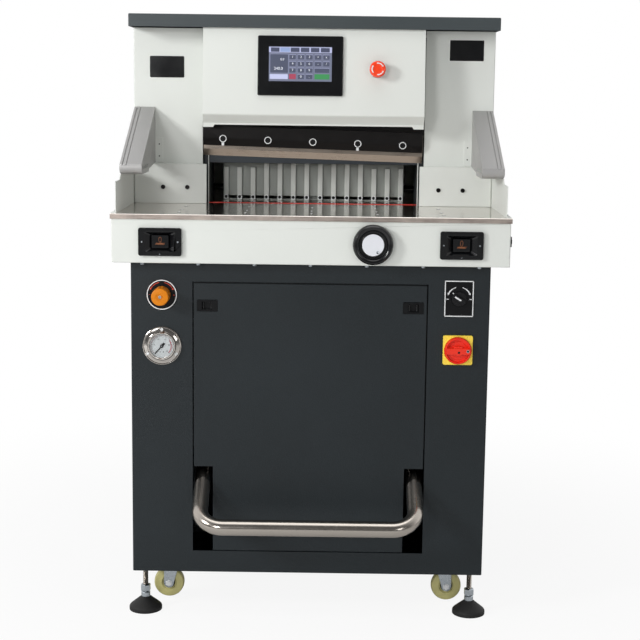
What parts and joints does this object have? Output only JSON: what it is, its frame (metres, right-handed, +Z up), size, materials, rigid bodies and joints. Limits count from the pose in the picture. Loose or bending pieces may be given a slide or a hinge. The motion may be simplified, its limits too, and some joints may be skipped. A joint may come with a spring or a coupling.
{
  "type": "hydraulic paper cutter",
  "caption": "Floor-standing hydraulic paper cutter: cabinet with tilting door and foot pedal, steel table, knife and clamp under a bridge, motorised back gauge and touch console.",
  "frame": {"origin": "middle of the footprint box on the floor, under the feet", "axes": "+X to the operator's right, +Y from the operator to the back of the machine, +Z up"},
  "size_m": [0.928, 1.0828, 1.447],
  "materials": {
    "ivory_paint": "satin powder coat",
    "charcoal_paint": "fine texture powder coat",
    "slate_paint": "satin powder coat",
    "cast_frame": "painted casting, machined faces",
    "ground_steel": "ground and polished",
    "blade_steel": "ground tool steel",
    "stainless_tube": "brushed stainless",
    "zinc_plate": "zinc plated",
    "gauge_aluminium": "milled, satin",
    "arm_aluminium": "satin anodised",
    "machine_grey": "hammered machine paint",
    "black_plastic": "fine grained ABS",
    "red_plastic": "moulded",
    "yellow_plastic": "moulded",
    "amber_knob": "moulded",
    "stick_red": "extruded PVC",
    "cream_nylon": "moulded nylon",
    "black_rubber": "moulded rubber over steel"
  },
  "bodies": {
    "machine": {"cabinet_shell": "charcoal_paint", "cabinet_rear_panel": "charcoal_paint", "front_table": "ground_steel", "rear_table": "ground_steel", "cutting_stick": "stick_red", "main_frame": "cast_frame", "clamp_cylinder": "machine_grey", "knife_cylinder": "machine_grey", "side_cover_left": "ivory_paint", "side_cover_right": "ivory_paint", "console_cover": "ivory_paint", "top_cap": "slate_paint", "rear_hood": "ivory_paint", "front_panel_left": "ivory_paint", "front_panel_right": "ivory_paint", "side_guard_left": "ivory_paint", "side_guard_right": "ivory_paint", "light_arm_left": "arm_aluminium", "light_arm_right": "arm_aluminium", "touch_panel": "black_plastic", "stop_collar": "black_plastic", "gauge_motor": "machine_grey", "apron": "ivory_paint", "button_housing_left": "black_plastic", "button_housing_right": "black_plastic", "regulator_plate": "black_plastic", "pressure_gauge": "black_plastic", "selector_plate": "black_plastic", "main_switch_plate": "yellow_plastic", "power_pack": "machine_grey", "foot_front_left": "black_rubber", "foot_front_right": "black_rubber", "foot_rear_left": "black_rubber", "foot_rear_right": "black_rubber"},
    "door": {"front_door": "charcoal_paint"},
    "latch_left": {"door_latch_left": "black_plastic"},
    "latch_right": {"door_latch_right": "black_plastic"},
    "pedal": {"pedal_bar": "stainless_tube"},
    "knife_drive": {"pull_bar": "ground_steel"},
    "knife_carriage": {"knife_beam": "cast_frame", "knife": "blade_steel"},
    "clamp": {"clamp_beam": "cast_frame"},
    "gauge": {"back_gauge": "gauge_aluminium"},
    "screw": {"lead_screw": "ground_steel"},
    "gauge_wheel": {"handwheel": "black_plastic"},
    "button_left": {"cut_button_left": "black_plastic"},
    "button_right": {"cut_button_right": "black_plastic"},
    "emergency_stop": {"stop_button": "red_plastic"},
    "main_switch": {"main_switch_handle": "red_plastic"},
    "selector": {"selector_knob": "black_plastic"},
    "regulator": {"regulator_knob": "amber_knob"},
    "needle": {"gauge_needle": "black_plastic"},
    "castor_front_left": {"castor_fork_front_left": "zinc_plate"},
    "wheel_front_left": {"castor_wheel_front_left": "cream_nylon"},
    "castor_front_right": {"castor_fork_front_right": "zinc_plate"},
    "wheel_front_right": {"castor_wheel_front_right": "cream_nylon"},
    "castor_rear_left": {"castor_fork_rear_left": "zinc_plate"},
    "wheel_rear_left": {"castor_wheel_rear_left": "cream_nylon"},
    "castor_rear_right": {"castor_fork_rear_right": "zinc_plate"},
    "wheel_rear_right": {"castor_wheel_rear_right": "cream_nylon"}
  },
  "joints": [
    {"name": "door_tilt", "type": "hinge", "parent": "machine", "child": "door", "pos_m": [0, -0.3985, 0.169], "axis": [1, 0, 0], "range_deg": [0, 34]},
    {"name": "latch_left_slide", "type": "slide", "parent": "door", "child": "latch_left", "axis": [1, 0, 0], "range_m": [0, 0.008], "stiffness_N_per_m": 300, "springref_m": -0.004},
    {"name": "latch_right_slide", "type": "slide", "parent": "door", "child": "latch_right", "axis": [-1, 0, 0], "range_m": [0, 0.008], "stiffness_N_per_m": 300, "springref_m": -0.004},
    {"name": "pedal_press", "type": "hinge", "parent": "machine", "child": "pedal", "pos_m": [0, -0.2345, 0.42928], "axis": [1, 0, 0], "range_deg": [0, 12], "stiffness_Nm_per_rad": 80, "springref_deg": -31.51},
    {"name": "knife_cut", "type": "slide", "parent": "machine", "child": "knife_drive", "axis": [0, 0, -1], "range_m": [0, 0.1195]},
    {"name": "knife_level", "type": "hinge", "parent": "knife_drive", "child": "knife_carriage", "pos_m": [-0.295, -0.0695, 1.19679], "axis": [0, -1, 0], "range_deg": [0, 1.55]},
    {"name": "clamp_press", "type": "slide", "parent": "machine", "child": "clamp", "axis": [0, 0, -1], "range_m": [0, 0.0995]},
    {"name": "gauge_feed", "type": "slide", "parent": "machine", "child": "gauge", "axis": [0, 1, 0], "range_m": [-0.035, 0.43]},
    {"name": "screw_turn", "type": "hinge", "parent": "machine", "child": "screw", "pos_m": [0, 0.2355, 0.925], "axis": [0, 1, 0], "continuous": true},
    {"name": "handwheel_turn", "type": "hinge", "parent": "machine", "child": "gauge_wheel", "pos_m": [0.1436, -0.4305, 0.917], "axis": [0, -1, 0], "continuous": true},
    {"name": "cut_button_left_press", "type": "slide", "parent": "machine", "child": "button_left", "axis": [0, 1, 0], "range_m": [0, 0.003], "stiffness_N_per_m": 800, "springref_m": -0.003},
    {"name": "cut_button_right_press", "type": "slide", "parent": "machine", "child": "button_right", "axis": [0, 1, 0], "range_m": [0, 0.003], "stiffness_N_per_m": 800, "springref_m": -0.003},
    {"name": "stop_press", "type": "slide", "parent": "machine", "child": "emergency_stop", "axis": [0, 0.9955, -0.0946], "range_m": [0, 0.006]},
    {"name": "main_switch_turn", "type": "hinge", "parent": "machine", "child": "main_switch", "pos_m": [0.3485, -0.4145, 0.6665], "axis": [0, 1, 0], "range_deg": [0, 90]},
    {"name": "selector_turn", "type": "hinge", "parent": "machine", "child": "selector", "pos_m": [0.3485, -0.4145, 0.7885], "axis": [0, 1, 0], "range_deg": [0, 90]},
    {"name": "regulator_turn", "type": "hinge", "parent": "machine", "child": "regulator", "pos_m": [-0.3485, -0.4145, 0.789], "axis": [0, -1, 0], "range_deg": [-360, 360]},
    {"name": "needle_sweep", "type": "hinge", "parent": "machine", "child": "needle", "pos_m": [-0.3485, -0.4095, 0.668], "axis": [0, 1, 0], "range_deg": [0, 240], "stiffness_Nm_per_rad": 0.002},
    {"name": "castor_front_left_swivel", "type": "hinge", "parent": "machine", "child": "castor_front_left", "pos_m": [-0.324, -0.2795, 0.1], "axis": [0, 0, 1], "continuous": true},
    {"name": "wheel_front_left_roll", "type": "hinge", "parent": "castor_front_left", "child": "wheel_front_left", "pos_m": [-0.346, -0.2795, 0.048], "axis": [0, 1, 0], "continuous": true},
    {"name": "castor_front_right_swivel", "type": "hinge", "parent": "machine", "child": "castor_front_right", "pos_m": [0.324, -0.2795, 0.1], "axis": [0, 0, 1], "continuous": true},
    {"name": "wheel_front_right_roll", "type": "hinge", "parent": "castor_front_right", "child": "wheel_front_right", "pos_m": [0.346, -0.2795, 0.048], "axis": [0, 1, 0], "continuous": true},
    {"name": "castor_rear_left_swivel", "type": "hinge", "parent": "machine", "child": "castor_rear_left", "pos_m": [-0.324, 0.1205, 0.1], "axis": [0, 0, 1], "continuous": true},
    {"name": "wheel_rear_left_roll", "type": "hinge", "parent": "castor_rear_left", "child": "wheel_rear_left", "pos_m": [-0.346, 0.1205, 0.048], "axis": [0, 1, 0], "continuous": true},
    {"name": "castor_rear_right_swivel", "type": "hinge", "parent": "machine", "child": "castor_rear_right", "pos_m": [0.324, 0.1205, 0.1], "axis": [0, 0, 1], "continuous": true},
    {"name": "wheel_rear_right_roll", "type": "hinge", "parent": "castor_rear_right", "child": "wheel_rear_right", "pos_m": [0.346, 0.1205, 0.048], "axis": [0, 1, 0], "continuous": true}
  ],
  "couplings": [
    {"joint": "knife_level", "follows": "knife_cut", "rad_per_m": 0.221},
    {"joint": "screw_turn", "follows": "gauge_feed", "rad_per_m": 785.4}
  ]
}
